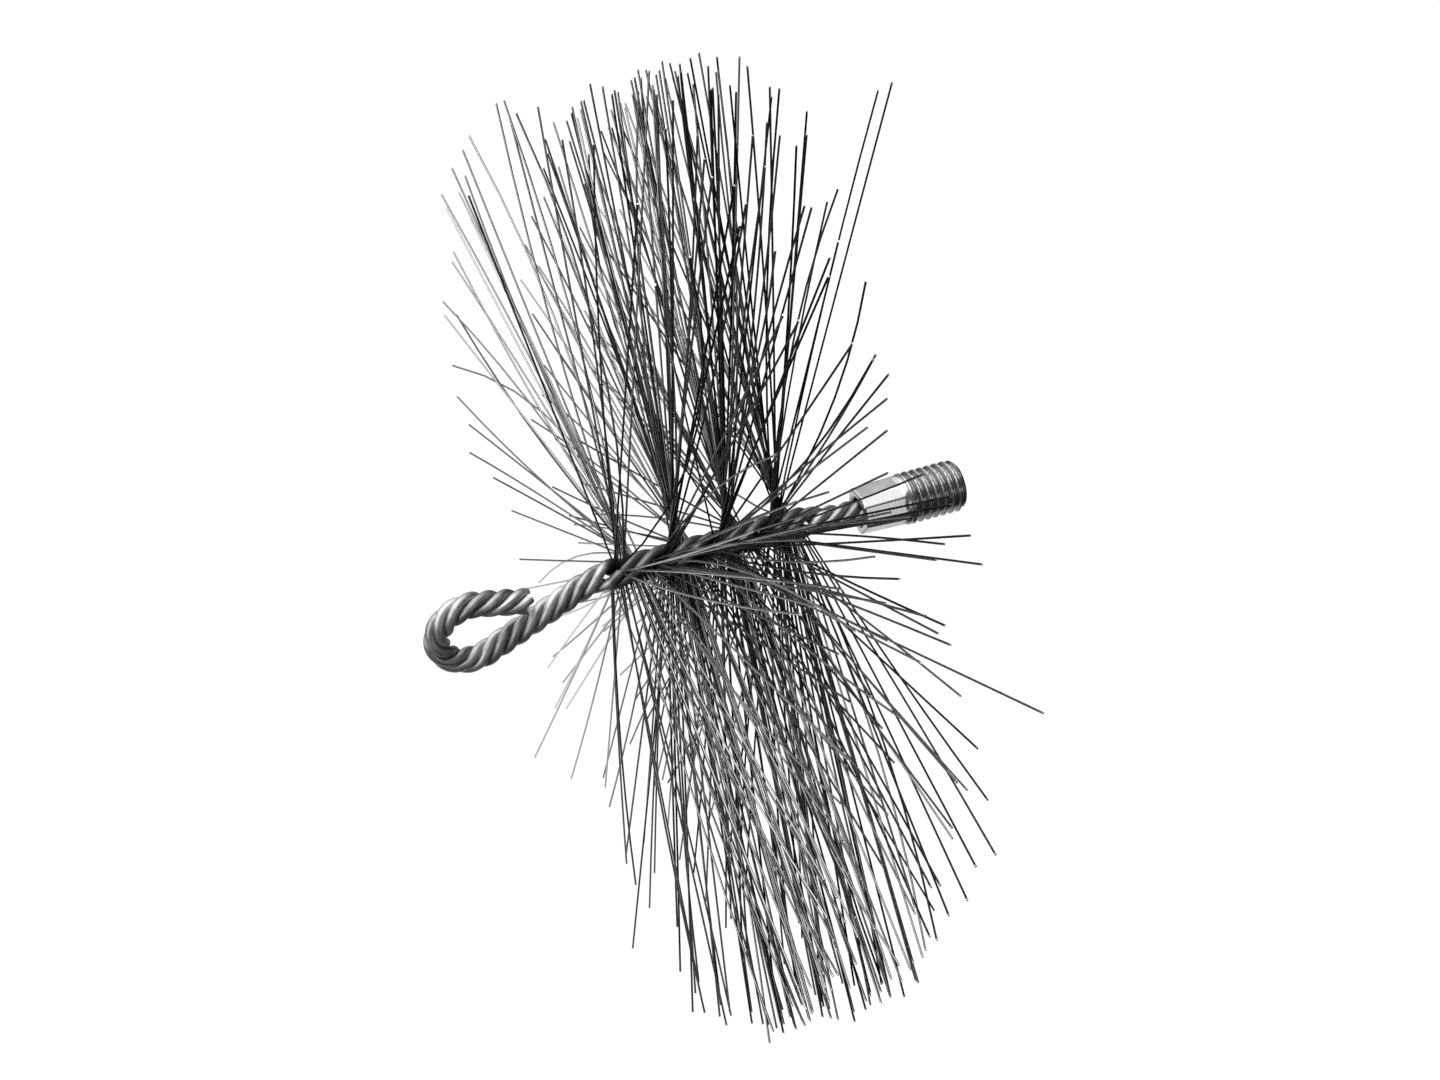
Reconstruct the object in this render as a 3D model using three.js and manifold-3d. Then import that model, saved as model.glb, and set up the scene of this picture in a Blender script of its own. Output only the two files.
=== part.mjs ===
// Chimney sweep brush, in millimetres. Spring-steel bristle wires are gripped in the middle by a stem of
// four twisted wires. One end of the stem is bent back on itself into a hanging eye, and the other end is
// crimped into the bore of a threaded stud.
// +X runs along the stem towards the stud's free end, +Z is up, and the origin is the centre of the stud's
// end face. The eye lies in the plane of X and Z.
import * as THREE from "three";
import { mergeVertices } from "three/addons/utils/BufferGeometryUtils.js";
import Module from "manifold-3d";

const wasm = await Module();
wasm.setup();

// Stud
const studLength = 26.4;
const threadDiameter = 12.7;
const threadLength = 14.6;
const endChamfer = 1.1;
const shoulderLength = 0.7;
const shankDiameter = 12;
const crimpFlats = 6;
const crimpAcrossFlats = 10.8;
const crimpLength = 10.2;
const crimpTurn = -43;
const boreDepth = 16.5;
const drillTipLength = 1.8;
const mouthBevel = 0.5;

// Stem
const stemWireDiameter = 2.26;
const plainLead = 17.3;
const bristleLead = 26.2;
const leadBlend = 4;
const leadInset = 2;
const bareStemLength = 14.6;
const stemRise = 1.5;
const stemRiseLength = 12;
const dropAngle = 26.8;
const dropBendRadius = 16;
const dropLength = 25.6;
const eyeRadius = 8.25;
const eyeReturnAngle = 15;
const leanShare = 1.06;

// Bristles
const brushRadius = 113.5;
const bristleDiameter = 0.45;
const bristleLength = 48.5;
const bristleTufts = 4;
const bristleRows = 25;
const bristleLayers = 2;
const firstNeckInset = 4.4;
const neckAngle = -43;
const bristleSweep = -1.8;
const bristleSweepSway = 3.5;
const swayAngle = 20;
const layerSplay = 5;
const sweepJitter = 1.2;
const turnJitter = 1.2;
const lengthSpreadShare = 0.06;
const backingOverhang = 0.35;
const restDepth = 3.5;
const footDepth = 0.5;

// Clearances
const pieceGap = 0.3;
const wireGap = 0.3;
const bristleGap = 0.12;
const cutOverrun = 1;

// Facets
const wireSteps = 92;
const wireSides = 8;
const studSegments = 40;
const pathSamples = 2400;
const helixSamples = 200;
const spacingPasses = 40;

const degrees = THREE.MathUtils.degToRad;
const goldenShare = 0.6180339887;
const secondGoldenShare = 0.7548776662;
const yAxis = new THREE.Vector3(0, 1, 0);
const xAxis = new THREE.Vector3(1, 0, 0);

const wireSteel = new THREE.MeshStandardMaterial({ color: 0x5a5b5c, roughness: 0.42, metalness: 0.9 });
const studSteel = new THREE.MeshStandardMaterial({ color: 0xb9babb, roughness: 0.28, metalness: 0.95 });
const bristleSteel = new THREE.MeshStandardMaterial({ color: 0x3c3d3f, roughness: 0.45, metalness: 0.85 });

// A closed geometry as a solid that can be joined and cut.
function solidOf(geometry) {
  const bare = geometry.clone();
  bare.deleteAttribute("normal");
  bare.deleteAttribute("uv");
  const merged = mergeVertices(bare);
  return new wasm.Manifold(
    new wasm.Mesh({
      numProp: 3,
      vertProperties: merged.attributes.position.array,
      triVerts: new Uint32Array(merged.index.array),
    }),
  );
}

function geometryOf(solid) {
  const mesh = solid.getMesh();
  const geometry = new THREE.BufferGeometry();
  geometry.setAttribute("position", new THREE.BufferAttribute(mesh.vertProperties, 3));
  geometry.setIndex(new THREE.BufferAttribute(mesh.triVerts, 1));
  geometry.computeVertexNormals();
  return geometry;
}

function namedMesh(name, geometry, material) {
  const mesh = new THREE.Mesh(geometry, material);
  mesh.name = name;
  return mesh;
}

// The least distance between two helices of one radius and lead whose phases differ by apart.
function helixDistance(radius, apart, lead) {
  const rise = lead / (2 * Math.PI);
  let least = Infinity;
  for (let i = 0; i <= helixSamples; i += 1) {
    const turned = (apart * i) / helixSamples;
    const across = 2 * radius * Math.sin(turned / 2);
    least = Math.min(least, Math.hypot(across, rise * (turned - apart)));
  }
  return least;
}

// Half the distance between the two wires of a pair, so that they lie wireGap apart. standoff gives the
// pair's distance from the middle plane of the stem for a half distance.
function pairHalfWidth(lead, standoff) {
  const wanted = stemWireDiameter + wireGap;
  let low = stemWireDiameter / 4;
  let high = stemWireDiameter * 2;
  for (let pass = 0; pass < spacingPasses; pass += 1) {
    const half = (low + high) / 2;
    const off = standoff(half);
    const reach = helixDistance(Math.hypot(half, off), 2 * Math.atan2(half, off), lead);
    if (reach < wanted) low = half;
    else high = half;
  }
  return high;
}

// The section of the stem: where it is bare the wires sit on a square, and where it holds bristles the two
// pairs stand apart by the backing. leanShare widens a wire's section for its slope along the helix. The
// pairs are spaced for the tighter lead that they reach at the ends of the bristles.
const backingHalfThickness = (bristleLayers * (bristleDiameter + bristleGap)) / 2;
const gripStandoff = backingHalfThickness + pieceGap + (stemWireDiameter / 2) * leanShare;
const plainHalf = pairHalfWidth(plainLead, (half) => half);
const tightGripLead = (plainLead + bristleLead) / 2;
const gripHalf = pairHalfWidth(tightGripLead, () => gripStandoff);
const ropeRadius = Math.hypot(plainHalf, plainHalf) + stemWireDiameter / 2;
const boreRadius = ropeRadius + pieceGap;
const backingHalfWidth = gripHalf + stemWireDiameter / 2 + backingOverhang;

// The stem's centre line in the plane of X and Z, as straight runs and arcs from inside the bore to the cut
// end of the eye. A positive turn is to the right.
const wireInBore = boreDepth - pieceGap;
const riseTurn = 2 * Math.atan2(stemRise, stemRiseLength);
const riseRadius = stemRiseLength / (2 * Math.sin(riseTurn));
const eyeTurn = Math.PI + degrees(dropAngle) + degrees(eyeReturnAngle);
const closingAngle = degrees(dropAngle) + degrees(eyeReturnAngle);
const eyeMouthHeight = eyeRadius * (1 + Math.cos(closingAngle));
const endCornerReach = ropeRadius * (1 + Math.cos(closingAngle)) + pieceGap;
const returnLength = (eyeMouthHeight - endCornerReach) / Math.sin(closingAngle);
const stemRuns = [
  { length: wireInBore + bareStemLength - stemRiseLength },
  { radius: riseRadius, turn: riseTurn },
  { radius: riseRadius, turn: -riseTurn },
  { length: bristleLength },
  { radius: dropBendRadius, turn: -degrees(dropAngle) },
  { length: dropLength },
  { radius: eyeRadius, turn: eyeTurn },
  { length: returnLength },
];
const bristleStart = wireInBore + bareStemLength;
const bristleEnd = bristleStart + bristleLength;
const stemLength = stemRuns.reduce((sum, run) => sum + runLength(run), 0);

function runLength(run) {
  return run.radius ? run.radius * Math.abs(run.turn) : run.length;
}

// The centre line's point and heading at a distance along it. Before and after its ends it runs on straight.
function centreAt(distance) {
  let x = -studLength + wireInBore;
  let z = 0;
  let heading = Math.PI;
  let left = distance;
  for (const run of stemRuns) {
    const last = run === stemRuns[stemRuns.length - 1];
    const part = last ? left : Math.min(left, runLength(run));
    if (run.radius) {
      const turn = -Math.sign(run.turn) * (part / run.radius);
      const side = -Math.sign(run.turn) * run.radius;
      x += side * (Math.sin(heading + turn) - Math.sin(heading));
      z -= side * (Math.cos(heading + turn) - Math.cos(heading));
      heading += turn;
    } else {
      x += part * Math.cos(heading);
      z += part * Math.sin(heading);
    }
    left -= part;
    if (left <= 0 && !last) break;
  }
  return { point: new THREE.Vector3(x, 0, z), heading };
}

// How far the pairs are spread at a distance along the stem: 0 where it is bare, 1 among the bristles. The
// lead changes in the same way, but starts to do so inset from the ends of the bristles.
function spreadAt(distance, inset = 0) {
  const start = bristleStart + inset;
  const end = bristleEnd - inset;
  const before = THREE.MathUtils.smoothstep(distance, start - leadBlend, start);
  return before - THREE.MathUtils.smoothstep(distance, end, end + leadBlend);
}

// The twist summed along the stem. The table starts before the stem does, so that wires can overrun it.
const tableStart = -cutOverrun;
const tableStep = (stemLength + 2 * cutOverrun) / pathSamples;
const twistTable = [0];
for (let i = 0; i < pathSamples; i += 1) {
  const spread = spreadAt(tableStart + (i + 0.5) * tableStep, leadInset);
  const rate = (1 - spread) / plainLead + spread / bristleLead;
  twistTable.push(twistTable[i] + 2 * Math.PI * rate * tableStep);
}

function twistAt(distance) {
  const place = THREE.MathUtils.clamp((distance - tableStart) / tableStep, 0, pathSamples - 1);
  const whole = Math.floor(place);
  return THREE.MathUtils.lerp(twistTable[whole], twistTable[whole + 1], place - whole);
}

// The angle of the bristle plane, from up towards -Y. It grows from the stud towards the eye, which makes
// the stem a left-hand twist. neckAngle is its angle at the first neck, where a half turn's bristles part.
function planeAngle(distance) {
  return degrees(neckAngle) + twistAt(distance) - twistAt(bristleStart + firstNeckInset);
}

// The stem's section frame: along lies in the bristle plane and across is square to it.
function sectionFrame(distance, angle) {
  const { point, heading } = centreAt(distance);
  const up = new THREE.Vector3(Math.sin(heading), 0, -Math.cos(heading));
  const along = up.clone().multiplyScalar(Math.cos(angle)).addScaledVector(yAxis, -Math.sin(angle));
  const across = up.clone().multiplyScalar(-Math.sin(angle)).addScaledVector(yAxis, -Math.cos(angle));
  return { point, along, across };
}

// One stem wire's centre line, run past both ends of the stem so that the ends can be cut flush.
class StemWireCurve extends THREE.Curve {
  constructor(alongSide, acrossSide) {
    super();
    this.alongSide = alongSide;
    this.acrossSide = acrossSide;
    this.arcLengthDivisions = pathSamples;
  }

  getPoint(t, target = new THREE.Vector3()) {
    const distance = THREE.MathUtils.lerp(-cutOverrun, stemLength + cutOverrun, t);
    const spread = spreadAt(distance);
    const half = THREE.MathUtils.lerp(plainHalf, gripHalf, spread);
    const off = THREE.MathUtils.lerp(plainHalf, gripStandoff, spread);
    const { point, along, across } = sectionFrame(distance, planeAngle(distance));
    return target
      .copy(point)
      .addScaledVector(along, this.alongSide * half)
      .addScaledVector(across, this.acrossSide * off);
  }
}

function circleShape(radius, sides) {
  const corners = [];
  for (let i = 0; i < sides; i += 1) {
    const angle = (2 * Math.PI * i) / sides;
    corners.push(new THREE.Vector2(radius * Math.cos(angle), radius * Math.sin(angle)));
  }
  return new THREE.Shape(corners);
}

// Slides the corners that lie past one end of the stem back along their wire, onto the plane of that end.
// side is 0 at the bore and 1 at the eye.
function cutFlush(geometry, curve, side) {
  const { point, heading } = centreAt(side * stemLength);
  const outward = new THREE.Vector3(Math.cos(heading), 0, Math.sin(heading));
  if (side === 0) outward.negate();
  const wireEnd = curve.getPoint(side);
  const overrunShare = cutOverrun / (stemLength + 2 * cutOverrun);
  const wireRun = wireEnd.clone().sub(curve.getPoint(Math.abs(side - overrunShare)));
  const corners = geometry.attributes.position;
  const corner = new THREE.Vector3();
  for (let i = 0; i < corners.count; i += 1) {
    corner.fromBufferAttribute(corners, i);
    const past = corner.clone().sub(point).dot(outward);
    if (past <= 0 || corner.distanceTo(wireEnd) > stemWireDiameter) continue;
    corner.addScaledVector(wireRun, -past / wireRun.dot(outward));
    corners.setXYZ(i, corner.x, corner.y, corner.z);
  }
}

function stemWire(alongSide, acrossSide) {
  const curve = new StemWireCurve(alongSide, acrossSide);
  const tube = new THREE.ExtrudeGeometry(circleShape(stemWireDiameter / 2, wireSides), {
    steps: wireSteps,
    bevelEnabled: false,
    extrudePath: curve,
  });
  cutFlush(tube, curve, 0);
  cutFlush(tube, curve, 1);
  return geometryOf(solidOf(tube));
}

// The stud's revolved profile, as pairs of a place along X and a radius.
function studProfile() {
  const threadEnd = -threadLength;
  const boreEnd = -studLength + boreDepth;
  return [
    [boreEnd + drillTipLength, 0],
    [boreEnd, boreRadius],
    [-studLength + mouthBevel, boreRadius],
    [-studLength, boreRadius + mouthBevel],
    [-studLength, shankDiameter / 2 - mouthBevel],
    [-studLength + mouthBevel, shankDiameter / 2],
    [threadEnd, shankDiameter / 2],
    [threadEnd + shoulderLength, threadDiameter / 2],
    [-endChamfer, threadDiameter / 2],
    [0, threadDiameter / 2 - endChamfer],
    [0, 0],
  ].map(([x, radius]) => new THREE.Vector2(radius, x));
}

// The blocks that press flats into the shank round the bore.
function crimpBlocks() {
  const blocks = [];
  const depth = shankDiameter / 2;
  for (let i = 0; i < crimpFlats; i += 1) {
    const turn = ((i + 0.5) * 360) / crimpFlats - crimpTurn;
    const block = new THREE.BoxGeometry(crimpLength, shankDiameter, depth);
    block.translate(crimpLength / 2 - studLength, 0, crimpAcrossFlats / 2 + depth / 2);
    block.rotateX(degrees(turn));
    blocks.push(solidOf(block));
  }
  return blocks;
}

function threadedStud() {
  const turned = new THREE.LatheGeometry(studProfile(), studSegments);
  turned.rotateZ(-Math.PI / 2);
  let solid = solidOf(turned);
  for (const block of crimpBlocks()) solid = solid.subtract(block);
  return geometryOf(solid);
}

function golden(number, share) {
  return (number * share) % 1;
}

// A closed mesh put together from shared corners.
class Patchwork {
  positions = [];
  index = [];

  corner(point) {
    this.positions.push(point.x, point.y, point.z);
    return this.positions.length / 3 - 1;
  }

  quad(a, b, c, d) {
    this.index.push(a, b, c, a, c, d);
  }

  solid() {
    const geometry = new THREE.BufferGeometry();
    geometry.setAttribute("position", new THREE.Float32BufferAttribute(this.positions, 3));
    geometry.setIndex(this.index);
    return solidOf(geometry);
  }
}

// The distance along the stem of a place in a tuft, counted in rows of bristles. Tufts keep a gap.
function rowPlace(tuft, row) {
  const tuftLength = bristleLength / bristleTufts;
  const from = bristleStart + tuft * tuftLength + pieceGap / 2;
  return from + (row / bristleRows) * (tuftLength - pieceGap);
}

// The section frame among the bristles. end is 0 or 1 for the two ends of a wire, half a turn apart.
function endFrame(tuft, row, end) {
  const distance = rowPlace(tuft, row);
  return sectionFrame(distance, planeAngle(distance) + end * Math.PI);
}

// The corners across one edge of the backing, between and beside its layers of bristles.
function edgeCorners(tuft, row, end) {
  const { point, along, across } = endFrame(tuft, row, end);
  const corners = [];
  for (let layer = 0; layer <= bristleLayers; layer += 1) {
    const off = backingHalfThickness * ((2 * layer) / bristleLayers - 1);
    corners.push(
      point.clone().addScaledVector(along, backingHalfWidth).addScaledVector(across, off),
    );
  }
  return corners;
}

// How far a layer of a tuft is turned about the stem, so that layers and tufts fill each other's gaps.
function interleave(tuft, layer) {
  const rowAngle = (2 * Math.PI * bristleLength) / (bristleLead * bristleTufts * bristleRows);
  return rowAngle * (golden(tuft, goldenShare) - 0.5 + (layer + 0.5) / bristleLayers - 0.5);
}

// The direction and length of one end of a bristle wire. Its sweep towards the stud is greatest at swayAngle
// round the stem. The layers lean apart along the stem, so that neighbours part instead of crossing.
function bristleAim(tuft, row, layer, end) {
  const count = ((tuft * bristleRows + row) * bristleLayers + layer) * 2 + end;
  const angle = planeAngle(rowPlace(tuft, row + 0.5)) + end * Math.PI;
  const jitterTurn = degrees(turnJitter) * (golden(count, secondGoldenShare) - 0.5);
  const turned = angle + jitterTurn + interleave(tuft, layer);
  const outward = new THREE.Vector3(0, -Math.sin(turned), Math.cos(turned));
  const sway = bristleSweepSway * Math.cos(angle - degrees(swayAngle));
  const splay = layerSplay * (layer - (bristleLayers - 1) / 2);
  const jitter = sweepJitter * (golden(count, goldenShare) - 0.5);
  const sweep = degrees(bristleSweep + sway + splay + jitter);
  const direction = outward.multiplyScalar(Math.cos(sweep)).addScaledVector(xAxis, Math.sin(sweep));
  const shortened = lengthSpreadShare * golden(count, goldenShare + secondGoldenShare);
  return { direction, length: brushRadius * (1 - shortened) };
}

// The line of one end of a bristle wire, from the backing's edge to its tip, and the frame of its section.
// The lowest bristles give way by restDepth under the brush's weight, so their tips end on one level.
function bristleLine(tuft, row, layer, end) {
  const { point, along, across } = endFrame(tuft, row + 0.5, end);
  const { direction, length } = bristleAim(tuft, row, layer, end);
  const off = backingHalfThickness * ((2 * layer + 1) / bristleLayers - 1);
  const root = point.addScaledVector(along, backingHalfWidth).addScaledVector(across, off);
  const floorLevel = stemRise - brushRadius + restDepth;
  const toFloor = direction.z < 0 ? (floorLevel - root.z) / direction.z : Infinity;
  const tip = root.clone().addScaledVector(direction, Math.min(length - backingHalfWidth, toFloor));
  const rowwise = new THREE.Vector3().crossVectors(across, direction).normalize();
  const layerwise = new THREE.Vector3().crossVectors(direction, rowwise);
  return { root, tip, rowwise, layerwise };
}

// The end of a bristle, as the corners in turn of a square as large as the round wire's section.
function tipCorners({ tip, rowwise, layerwise }) {
  const half = (bristleDiameter * Math.sqrt(Math.PI)) / 4;
  return [
    [-half, -half],
    [half, -half],
    [half, half],
    [-half, half],
  ].map(([u, v]) => tip.clone().addScaledVector(rowwise, u).addScaledVector(layerwise, v));
}

// A quarter of the bristles on their slice of the backing. The backing is the middles of the wires, pressed
// flat between the stem's two pairs, and each cell of its edges runs out into one bristle.
function bristleTuft(tuft, foot) {
  const work = new Patchwork();
  const rows = [];
  for (let row = 0; row <= bristleRows; row += 1) {
    rows.push([0, 1].map((end) => edgeCorners(tuft, row, end).map((point) => work.corner(point))));
  }
  const last = bristleLayers;
  for (let row = 0; row < bristleRows; row += 1) {
    for (let end = 0; end < 2; end += 1) {
      const near = rows[row];
      const far = rows[row + 1];
      work.quad(near[end][last], far[end][last], far[1 - end][0], near[1 - end][0]);
      for (let layer = 0; layer < bristleLayers; layer += 1) {
        const cell = [near[end][layer], far[end][layer], far[end][layer + 1], near[end][layer + 1]];
        const tip = tipCorners(bristleLine(tuft, row, layer, end)).map((point) => work.corner(point));
        for (let side = 0; side < 4; side += 1) {
          const next = (side + 1) % 4;
          work.quad(cell[side], cell[next], tip[next], tip[side]);
        }
        work.quad(...tip);
      }
    }
  }
  const first = rows[0];
  const final = rows[bristleRows];
  for (let layer = 0; layer < bristleLayers; layer += 1) {
    const back = last - layer;
    work.quad(first[0][layer], first[0][layer + 1], first[1][back - 1], first[1][back]);
    work.quad(final[0][layer + 1], final[0][layer], final[1][back], final[1][back - 1]);
  }
  return geometryOf(work.solid().subtract(foot));
}

function allBristleLines() {
  const lines = [];
  for (let tuft = 0; tuft < bristleTufts; tuft += 1) {
    for (let row = 0; row < bristleRows; row += 1) {
      for (let layer = 0; layer < bristleLayers; layer += 1) {
        for (let end = 0; end < 2; end += 1) lines.push(bristleLine(tuft, row, layer, end));
      }
    }
  }
  return lines;
}

// The block under the brush that cuts the lowest tips flat, so that it lies on them.
function footBlock(lines) {
  const lowest = Math.min(...lines.map((line) => line.tip.z));
  const side = 4 * brushRadius;
  const block = new THREE.BoxGeometry(side, side, side);
  block.translate(0, 0, lowest + footDepth - side / 2);
  return solidOf(block);
}

// The least distance between the centre lines of any two bristles.
function leastBristleDistance(lines) {
  let least = Infinity;
  lines.forEach((first, i) => {
    for (const second of lines.slice(i + 1)) least = Math.min(least, lineDistance(first, second));
  });
  return least;
}

// The least distance between two lines that each run from a root to a tip.
function lineDistance(first, second) {
  const u = new THREE.Vector3().subVectors(first.tip, first.root);
  const v = new THREE.Vector3().subVectors(second.tip, second.root);
  const w = new THREE.Vector3().subVectors(first.root, second.root);
  const spread = u.lengthSq() * v.lengthSq() - u.dot(v) ** 2;
  const guess = (u.dot(v) * v.dot(w) - v.lengthSq() * u.dot(w)) / spread;
  const onFirst = THREE.MathUtils.clamp(guess, 0, 1);
  const onSecond = THREE.MathUtils.clamp((u.dot(v) * onFirst + v.dot(w)) / v.lengthSq(), 0, 1);
  const settled = THREE.MathUtils.clamp((u.dot(v) * onSecond - u.dot(w)) / u.lengthSq(), 0, 1);
  return w.addScaledVector(u, settled).addScaledVector(v, -onSecond).length();
}

const brush = new THREE.Group();
brush.add(namedMesh("threaded_stud", threadedStud(), studSteel));

const wireSidePairs = [
  [1, 1],
  [-1, 1],
  [-1, -1],
  [1, -1],
];
wireSidePairs.forEach(([alongSide, acrossSide], i) => {
  brush.add(namedMesh(`stem_wire_${i + 1}`, stemWire(alongSide, acrossSide), wireSteel));
});

const bristleLines = allBristleLines();
const foot = footBlock(bristleLines);
for (let tuft = 0; tuft < bristleTufts; tuft += 1) {
  brush.add(namedMesh(`bristle_tuft_${tuft + 1}`, bristleTuft(tuft, foot), bristleSteel));
}
console.log(`least distance between bristle centre lines ${leastBristleDistance(bristleLines).toFixed(2)} mm`);

export default brush;
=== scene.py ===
import math

import bpy
import numpy as np
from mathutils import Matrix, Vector


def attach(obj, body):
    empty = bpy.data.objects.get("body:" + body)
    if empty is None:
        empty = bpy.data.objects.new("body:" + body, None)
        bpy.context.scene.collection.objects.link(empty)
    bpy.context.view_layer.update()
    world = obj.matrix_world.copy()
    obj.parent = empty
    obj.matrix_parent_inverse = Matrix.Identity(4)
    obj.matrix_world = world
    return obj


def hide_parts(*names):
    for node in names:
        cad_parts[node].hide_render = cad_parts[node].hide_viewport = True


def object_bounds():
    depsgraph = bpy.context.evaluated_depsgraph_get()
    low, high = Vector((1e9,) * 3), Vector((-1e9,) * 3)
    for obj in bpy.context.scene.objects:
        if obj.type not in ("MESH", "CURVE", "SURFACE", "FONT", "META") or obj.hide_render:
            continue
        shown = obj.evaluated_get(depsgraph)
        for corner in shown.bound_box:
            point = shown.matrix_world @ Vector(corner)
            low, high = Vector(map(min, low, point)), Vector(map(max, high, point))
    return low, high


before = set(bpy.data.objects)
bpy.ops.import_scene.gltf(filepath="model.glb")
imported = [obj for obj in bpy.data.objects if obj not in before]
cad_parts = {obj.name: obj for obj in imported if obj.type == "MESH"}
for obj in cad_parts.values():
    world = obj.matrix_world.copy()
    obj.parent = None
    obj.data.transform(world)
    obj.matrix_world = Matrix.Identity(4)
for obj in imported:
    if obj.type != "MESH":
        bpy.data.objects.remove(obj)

# Chimney sweep brush. +X runs along the stem out of the stud's free end, +Z is up, and the eye lies in the
# plane of X and Z. Blender works in metres, so the brush's lengths are written in millimetres times mm.
mm = 0.001
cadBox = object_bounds()
floorHeight = cadBox[0].z
print("frame loaded")


# Small helpers for node trees
def addNode(tree, kind, values=None, **settings):
    made = tree.nodes.new(kind)
    for name, value in settings.items():
        setattr(made, name, value)
    for name, value in (values or {}).items():
        socket = made.inputs[name]
        if isinstance(value, bpy.types.NodeSocket):
            tree.links.new(value, socket)
        else:
            socket.default_value = value
    return made


def calc(tree, operation, *values):
    return addNode(tree, "ShaderNodeMath", dict(enumerate(values)), operation=operation).outputs[0]


def summed(tree, first, *others):
    for other in others:
        first = calc(tree, "ADD", first, other)
    return first


def product(tree, first, *others):
    for other in others:
        first = calc(tree, "MULTIPLY", first, other)
    return first


def vectorCalc(tree, operation, *values):
    made = addNode(tree, "ShaderNodeVectorMath", dict(enumerate(values)), operation=operation)
    return made.outputs["Vector"]


def scaled(tree, vector, factor):
    made = addNode(tree, "ShaderNodeVectorMath", {0: vector, "Scale": factor}, operation="SCALE")
    return made.outputs["Vector"]


def addTree(name, kind, inputs, outputs):
    tree = bpy.data.node_groups.new(name, kind)
    for label, socketType, default in inputs:
        socket = tree.interface.new_socket(label, in_out="INPUT", socket_type="NodeSocket" + socketType)
        if default is not None:
            socket.default_value = default
    for label, socketType in outputs:
        tree.interface.new_socket(label, in_out="OUTPUT", socket_type="NodeSocket" + socketType)
    return tree, tree.nodes.new("NodeGroupInput").outputs, tree.nodes.new("NodeGroupOutput").inputs


def attribute(tree, name, dataType="FLOAT"):
    made = addNode(tree, "GeometryNodeInputNamedAttribute", {"Name": name}, data_type=dataType)
    return made.outputs["Attribute"]


def store(tree, geometry, name, value, dataType="FLOAT"):
    values = {"Geometry": geometry, "Name": name, "Value": value}
    made = addNode(tree, "GeometryNodeStoreNamedAttribute", values, data_type=dataType, domain="POINT")
    return made.outputs["Geometry"]


def randomValue(tree, low, high, seed):
    made = addNode(tree, "FunctionNodeRandomValue", data_type="FLOAT")
    for socket in made.inputs:
        if socket.enabled and socket.name in ("Min", "Max", "Seed"):
            value = {"Min": low, "Max": high, "Seed": seed}[socket.name]
            if isinstance(value, bpy.types.NodeSocket):
                tree.links.new(value, socket)
            else:
                socket.default_value = value
    return next(socket for socket in made.outputs if socket.enabled)


def evenValue(tree, high, seed, offset):
    return randomValue(tree, 0.0, high, calc(tree, "ADD", seed, float(offset)))


def bellValue(tree, spread, seed, offset):
    # three even draws added up, which comes close to a normal spread
    total = 0.0
    for draw in range(3):
        drawSeed = calc(tree, "ADD", seed, float(offset + draw))
        total = calc(tree, "ADD", total, randomValue(tree, -1.0, 1.0, drawSeed))
    return calc(tree, "MULTIPLY", total, spread)


def eased(share):
    return share * share * (3 - 2 * share)


def plainMesh(name, source, tree, values, smoothAngle):
    # runs a geometry tree on a copy of source and keeps the result as a mesh with no modifier
    carrier = bpy.data.objects.new(name + "Carrier", source)
    bpy.context.scene.collection.objects.link(carrier)
    modifier = carrier.modifiers.new("shape", "NODES")
    modifier.node_group = tree
    sockets = {item.name: item.identifier for item in tree.interface.items_tree if item.in_out == "INPUT"}
    for label, value in values.items():
        modifier[sockets[label]] = value
    evaluated = carrier.evaluated_get(bpy.context.evaluated_depsgraph_get())
    mesh = bpy.data.meshes.new_from_object(evaluated)
    bpy.data.objects.remove(carrier)
    mesh.name = name
    mesh.set_sharp_from_angle(angle=smoothAngle)
    made = bpy.data.objects.new(name, mesh)
    bpy.context.scene.collection.objects.link(made)
    return made


def finished(made, slotName, *nodes):
    # nothing moves, so every piece rides on the root; nodes are the CAD pieces that it stands for
    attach(made, "root")
    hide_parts(*nodes)


# Camera, placed as the photo's was
view = {
    "azimuth": math.radians(-22.54),
    "elevation": math.radians(41.24),
    "place": (-250.8 * mm, -455.7 * mm, 435.5 * mm),
    "focalPixels": 2814,
    "widthPixels": 1440,
    "sensorWidth": 36,                             # millimetres
}


def makeCamera():
    data = bpy.data.cameras.new("studioCamera")
    data.sensor_width = view["sensorWidth"]
    data.lens = view["sensorWidth"] * view["focalPixels"] / view["widthPixels"]
    made = bpy.data.objects.new("studioCamera", data)
    bpy.context.scene.collection.objects.link(made)
    azimuth, elevation = view["azimuth"], view["elevation"]
    back = Vector((math.sin(azimuth) * math.cos(elevation),
                   -math.cos(azimuth) * math.cos(elevation),
                   math.sin(elevation)))
    made.location = view["place"]
    made.rotation_mode = "QUATERNION"
    made.rotation_quaternion = (-back).to_track_quat("-Z", "Y")
    bpy.context.scene.camera = made


makeCamera()
print("camera placed")


# Steel: parts of a material that the wires and the stud share
def newMaterial(name):
    material = bpy.data.materials.new(name)
    material.use_nodes = True
    return material, material.node_tree, material.node_tree.nodes["Principled BSDF"]


def colourRamp(tree, place, start, end):
    # start and end are each a place on the ramp and its colour
    ramp = addNode(tree, "ShaderNodeValToRGB", {"Fac": place})
    for element, (position, colour) in zip(ramp.color_ramp.elements, (start, end)):
        element.position = position
        element.color = (*colour, 1)
    return ramp.outputs["Color"]


def mixedColour(tree, share, colour, other):
    mix = addNode(tree, "ShaderNodeMix", data_type="RGBA")
    tree.links.new(share, mix.inputs["Factor"])
    tree.links.new(colour, mix.inputs["A"])
    mix.inputs["B"].default_value = (*other, 1)
    return next(socket for socket in mix.outputs if socket.enabled)


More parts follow.
